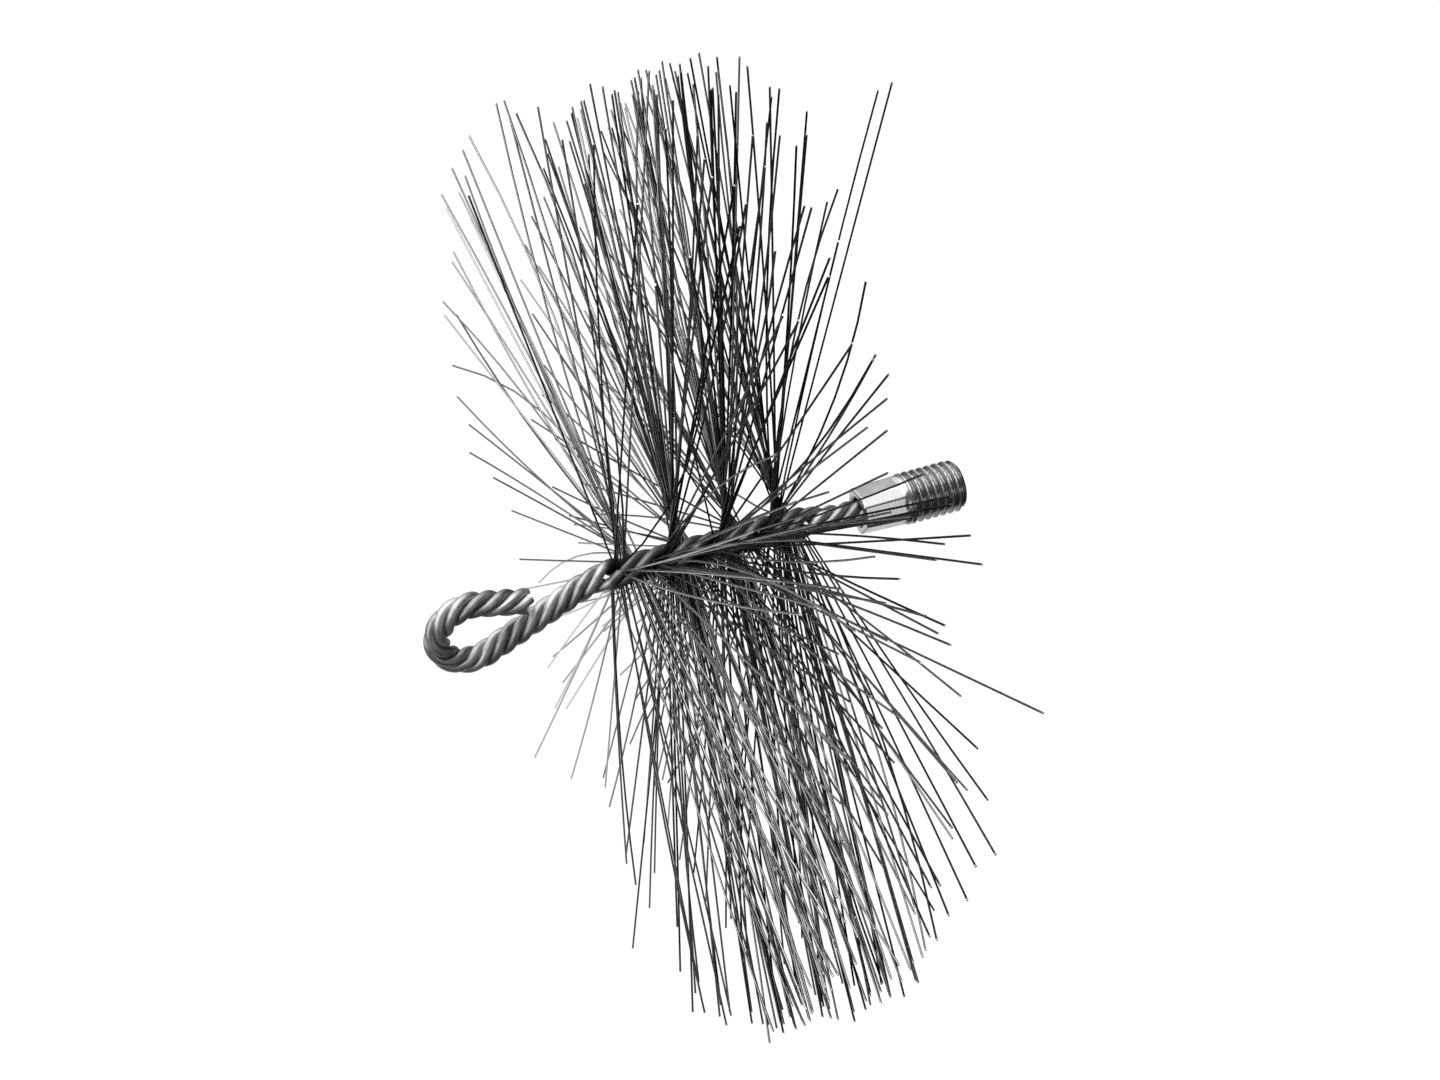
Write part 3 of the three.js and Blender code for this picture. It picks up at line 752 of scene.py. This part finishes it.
def layStrayWires():
    # one point for each wire end in the list, with its reach, bend and tone
    random = np.random.default_rng(bristle["seed"])
    places, reaches, bends = [], [], []
    for along, turn, sweep, length, tone in strayWires:
        x, z = centreAt(bristleStart + along * mm)
        turn, sweep = math.radians(turn), math.radians(sweep)
        aim = Vector((math.sin(sweep), -math.sin(turn) * math.cos(sweep), math.cos(turn) * math.cos(sweep)))
        length = min(length * mm, (z - tipFloor) / max(-aim.z, bristle["leastFall"]))
        places.append((x, 0, z))
        reaches.append(aim * length)
        sideways = aim.cross(Vector(random.normal(size=3)))
        bends.append(sideways * length * bristle["bend"] * random.random() ** 2)
    mesh = bpy.data.meshes.new("strayPlaces")
    mesh.from_pydata(places, [], [])
    tones = [tone for along, turn, sweep, length, tone in strayWires]
    for label, kind, values in (("reach", "FLOAT_VECTOR", reaches), ("bend", "FLOAT_VECTOR", bends)):
        mesh.attributes.new(label, kind, "POINT").data.foreach_set("vector", np.array(values).ravel())
    mesh.attributes.new("tone", "FLOAT", "POINT").data.foreach_set("value", tones)
    made = plainMesh("bristlesStray", mesh, wireEndTree, wireValues, bristle["smoothAngle"])
    finished(made, "bristle", *[f"bristle_tuft_{tuft + 1}" for tuft in range(stem["tufts"])])


for tuft in range(stem["tufts"]):
    layTuft(tuft)
layStrayWires()
print("bristles laid")

# Stud: a turned piece with a cut thread, crimped onto the stem. Each flat has the turn that it faces, in
# degrees from up towards -Y, and its distance from the axis in millimetres.
stud = {
    "length": stem["studLength"],
    "threadRadius": 6.35 * mm,
    "threadLength": 14.6 * mm,
    "pitch": 25.4 / 13 * mm,
    "threadDepth": 1.05 * mm,
    "crestShare": 0.08,
    "flankShare": 0.76,
    "rootRounding": 0.35,
    "runOut": 1.6 * mm,
    "endChamfer": 1.1 * mm,
    "shankRadius": 6 * mm,
    "flats": [(-12, 5.4), (29, 5.8), (62, 5.7), (125, 5.5), (195, 5.5), (270, 5.5)],
    "flatReach": math.radians(60),
    "mouthSqueeze": 0.5 * mm,
    "crimpLength": 10.2 * mm,
    "crimpBlend": 0.9 * mm,
    "mouthBevel": 0.45 * mm,
    "boreRadius": 3.5 * mm,
    "boreDepth": 16.5 * mm,
    "drillTip": 1.8 * mm,
    "sides": 144,
    "threadStep": 0.085 * mm,
    "shankStep": 0.3 * mm,
    "endRings": [0.25, 0.5, 0.75, 0.9],
    "bevelRings": [0, 0.3, 0.7, 1],
    "mouthRings": [0.3, 0.7, 1],
    "boreRings": [0.1, 0.25, 0.5, 0.75, 1],
    "smoothAngle": math.radians(32),
}
studLook = {
    "ringScale": (6000, 300, 300),
    "ringDetail": 3.0,
    "ringShare": 0.4,
    "patchScale": 260.0,
    "patchDetail": 4.0,
    "patchShare": 0.6,
    "rampStart": 0.3,
    "rampEnd": 0.7,
    "dark": (0.4, 0.4, 0.41),
    "light": (0.52, 0.52, 0.53),
    # root: colour of the painted shade in the thread roots and on the end chamfer, with the range over which
    # it comes in below
    "root": (0.26, 0.26, 0.26),
    "rootShadeStart": 0.03,
    "rootShadeEnd": 0.45,
    "patchLow": 0.3,
    "patchHigh": 0.7,
    "roughness": (0.22, 0.34),
    "metallic": 0.9,
    "bump": 0.08,
    "bumpDepth": 0.02 * mm,
}


def threadRadiusAt(x, angle):
    # a right-hand thread with flat crests and roots; it runs out at the shank and starts at the chamfer. It
    # also gives the painted shade: full on the chamfer, and deepest in the roots
    phase = (x / stud["pitch"] - angle / (2 * np.pi)) % 1
    fromCrest = np.abs(phase - 0.5) * 2
    groove = np.clip((fromCrest - stud["crestShare"]) / stud["flankShare"], 0, 1)
    groove = eased(groove) * stud["rootRounding"] + groove * (1 - stud["rootRounding"])
    runIn = np.clip((x + stud["threadLength"]) / stud["runOut"], 0, 1)
    radius = stud["threadRadius"] - stud["threadDepth"] * groove * runIn
    chamfer = stud["threadRadius"] - stud["endChamfer"] - x
    rootShade = np.where(chamfer < radius, 1, groove * runIn)
    return np.minimum(radius, chamfer), rootShade


def shankRadiusAt(x, angle):
    # the flats deepen towards the mouth and fade into the round shank where the crimping dies ended
    crimpEnd = stud["crimpLength"] - stud["length"]
    squeeze = stud["mouthSqueeze"] * np.clip((crimpEnd - x) / stud["crimpLength"], 0, 1)
    radius = np.full_like(angle, stud["shankRadius"]) - squeeze / 2
    least = math.cos(stud["flatReach"])
    for turn, depth in stud["flats"]:
        facing = np.cos(angle - np.pi / 2 - math.radians(turn))
        flatRadius = (depth * mm - squeeze) / np.maximum(facing, least)
        radius = np.where(facing > least, np.minimum(radius, flatRadius), radius)
    blend = eased(np.clip((x - crimpEnd) / stud["crimpBlend"], 0, 1))
    return radius * (1 - blend) + stud["shankRadius"] * blend


def makeStudRings():
    angle = np.linspace(0, 2 * np.pi, stud["sides"], endpoint=False)
    # here groove is the painted shade of the thread roots and the chamfer
    rings = []                                     # each ring: place along X, radius and groove by angle
    flat = np.zeros_like(angle)
    endRadius = stud["threadRadius"] - stud["endChamfer"]
    for share in stud["endRings"]:
        rings.append((0.0, flat + endRadius * share, flat))
    for x in np.arange(0, -stud["threadLength"], -stud["threadStep"]):
        radius, groove = threadRadiusAt(x, angle)
        rings.append((x, radius, groove))
    shankEnd = stud["mouthBevel"] - stud["length"]
    for x in np.arange(-stud["threadLength"], shankEnd, -stud["shankStep"]):
        rings.append((x, shankRadiusAt(x, angle), flat))
    for share in stud["bevelRings"]:
        x = -stud["length"] + stud["mouthBevel"] * (1 - math.sin(share * math.pi / 2))
        drop = stud["mouthBevel"] * (1 - math.cos(share * math.pi / 2))
        rings.append((x, shankRadiusAt(x, angle) - drop, flat))
    mouth = shankRadiusAt(-stud["length"], angle) - stud["mouthBevel"]
    innerEdge = stud["boreRadius"] + stud["mouthBevel"]
    for share in stud["mouthRings"]:
        rings.append((-stud["length"], mouth * (1 - share) + innerEdge * share, flat))
    boreLength = stud["boreDepth"] - stud["mouthBevel"]
    for share in [0, *stud["boreRings"]]:
        rings.append((shankEnd + boreLength * share, flat + stud["boreRadius"], flat))
    return angle, rings


def makeStud():
    angle, rings = makeStudRings()
    sides, count = len(angle), len(rings)
    cosine, sine = np.cos(angle), np.sin(angle)
    points = np.concatenate([
        np.stack([np.full(sides, x), radius * cosine, radius * sine], axis=1) for x, radius, groove in rings
    ])
    boreEnd = stud["boreDepth"] + stud["drillTip"] - stud["length"]
    points = np.concatenate([points, [[0, 0, 0], [boreEnd, 0, 0]]])
    faces = []
    for ring in range(count - 1):
        for side in range(sides):
            after = (side + 1) % sides
            faces.append((ring * sides + side, (ring + 1) * sides + side,
                          (ring + 1) * sides + after, ring * sides + after))
    for side in range(sides):
        after = (side + 1) % sides
        faces.append((count * sides, side, after))
        faces.append((count * sides + 1, (count - 1) * sides + after, (count - 1) * sides + side))
    mesh = bpy.data.meshes.new("crimpedStud")
    mesh.from_pydata(points.tolist(), [], faces)
    groove = np.concatenate([groove for x, radius, groove in rings] + [[0, 0]]).astype(np.float32)
    mesh.attributes.new("groove", "FLOAT", "POINT").data.foreach_set("value", groove)
    mesh.polygons.foreach_set("use_smooth", [True] * len(mesh.polygons))
    mesh.set_sharp_from_angle(angle=stud["smoothAngle"])
    made = bpy.data.objects.new("crimpedStud", mesh)
    bpy.context.scene.collection.objects.link(made)
    return made


def makeStudSteel():
    # turned steel: fine rings round the axis, patches, and painted shade in the roots between the threads and
    # on the end chamfer
    material, tree, shader = newMaterial("studSteel")
    place = addNode(tree, "ShaderNodeTexCoord").outputs["Object"]
    stretched = addNode(tree, "ShaderNodeMapping", {"Vector": place, "Scale": studLook["ringScale"]})
    rings = addNode(tree, "ShaderNodeTexNoise", {"Vector": stretched.outputs[0], "Scale": 1.0,
                                                 "Detail": studLook["ringDetail"]}).outputs[0]
    patches = addNode(tree, "ShaderNodeTexNoise", {"Vector": place, "Scale": studLook["patchScale"],
                                                   "Detail": studLook["patchDetail"]}).outputs[0]
    mixPlace = summed(tree, product(tree, rings, studLook["ringShare"]),
                      product(tree, patches, studLook["patchShare"]))
    surface = colourRamp(tree, mixPlace, (studLook["rampStart"], studLook["dark"]),
                         (studLook["rampEnd"], studLook["light"]))
    groove = addNode(tree, "ShaderNodeAttribute", attribute_name="groove").outputs["Fac"]
    rootShade = addNode(tree, "ShaderNodeMapRange", {"Value": groove, "From Min": studLook["rootShadeStart"],
                                                "From Max": studLook["rootShadeEnd"]}).outputs[0]
    colour = mixedColour(tree, rootShade, surface, studLook["root"])
    finishShader(tree, shader, studLook, colour, patches, rings)
    return material


studPiece = makeStud()
studPiece.data.materials.append(makeStudSteel())
finished(studPiece, "stud", "threaded_stud")
print("stud cut")

# Stage: a pale floor under soft lights, in metres and watts
stage = {
    "floorSize": 8.0,
    "floorColor": (0.015, 0.015, 0.015),
    "floorRoughness": 0.9,
    "floorGlow": 1.0,
    "poolGlow": 1.2,
    "pools": [(-0.12, 0.08, 0.05, 0.13), (0.005, 0.045, 0.015, 0.05)],  # x, y, full within, gone beyond
    "worldBack": (-0.45, 0.45, 0.77),              # the way in which the world brightens
    "worldStart": (0.3, (0.01, 0.01, 0.01)),       # place on the ramp and light
    "worldEnd": (0.85, (2.0, 2.0, 2.0)),
    "lightTarget": (-0.07, 0, 0),
    "softboxes": [                                 # name, place, size and power
        ("overheadBox", (-0.15, 0.2, 1.0), (1.3, 1.3), 10.5),
        ("frontBox", (0.41, -1.4, 0.31), (0.7, 0.5), 2),
        ("sideBox", (-0.9, -0.25, 0.35), (0.4, 0.6), 2.5),
    ],
}


def makeFloor():
    side = stage["floorSize"] / 2
    mesh = bpy.data.meshes.new("floor")
    corners = [(-side, -side, floorHeight), (side, -side, floorHeight), (side, side, floorHeight),
               (-side, side, floorHeight)]
    mesh.from_pydata(corners, [], [(0, 1, 2, 3)])
    made = bpy.data.objects.new("floor", mesh)
    bpy.context.scene.collection.objects.link(made)
    material, tree, shader = newMaterial("paleFloor")
    shader.inputs["Base Color"].default_value = (*stage["floorColor"], 1)
    shader.inputs["Roughness"].default_value = stage["floorRoughness"]
    shader.inputs["Emission Color"].default_value = (1, 1, 1, 1)
    # the floor is lit evenly for the eye, and steel mirrors only two pools of light: behind the brush and
    # under the stud
    seen = addNode(tree, "ShaderNodeLightPath").outputs["Is Camera Ray"]
    place = addNode(tree, "ShaderNodeTexCoord").outputs["Object"]
    mirrored = 0.0
    for x, y, inner, outer in stage["pools"]:
        away = addNode(tree, "ShaderNodeVectorMath", {0: place, 1: (x, y, floorHeight)},
                       operation="DISTANCE").outputs["Value"]
        pool = addNode(tree, "ShaderNodeMapRange", {
            "Value": away, "From Min": inner, "From Max": outer, "To Min": stage["poolGlow"], "To Max": 0.0,
        }).outputs[0]
        mirrored = calc(tree, "MAXIMUM", mirrored, pool)
    glow = addNode(tree, "ShaderNodeMix", {0: seen, 2: mirrored, 3: stage["floorGlow"]}, data_type="FLOAT")
    tree.links.new(glow.outputs[0], shader.inputs["Emission Strength"])
    made.data.materials.append(material)


def addSoftbox(name, place, size, power):
    data = bpy.data.lights.new(name, "AREA")
    data.shape = "RECTANGLE"
    data.size, data.size_y = size
    data.energy = power
    made = bpy.data.objects.new(name, data)
    bpy.context.scene.collection.objects.link(made)
    made.location = place
    made.rotation_mode = "QUATERNION"
    made.rotation_quaternion = (Vector(stage["lightTarget"]) - Vector(place)).to_track_quat("-Z", "Y")


def makeLights():
    world = bpy.data.worlds.new("studioWorld")
    world.use_nodes = True
    tree = world.node_tree
    place = addNode(tree, "ShaderNodeTexCoord").outputs["Generated"]
    back = addNode(tree, "ShaderNodeVectorMath", {0: place, 1: stage["worldBack"]}, operation="DOT_PRODUCT")
    light = colourRamp(tree, back.outputs["Value"], stage["worldStart"], stage["worldEnd"])
    tree.links.new(light, tree.nodes["Background"].inputs["Color"])
    bpy.context.scene.world = world
    for softbox in stage["softboxes"]:
        addSoftbox(*softbox)
    bpy.context.scene.view_settings.view_transform = "Standard"


makeFloor()
makeLights()
print("stage lit")
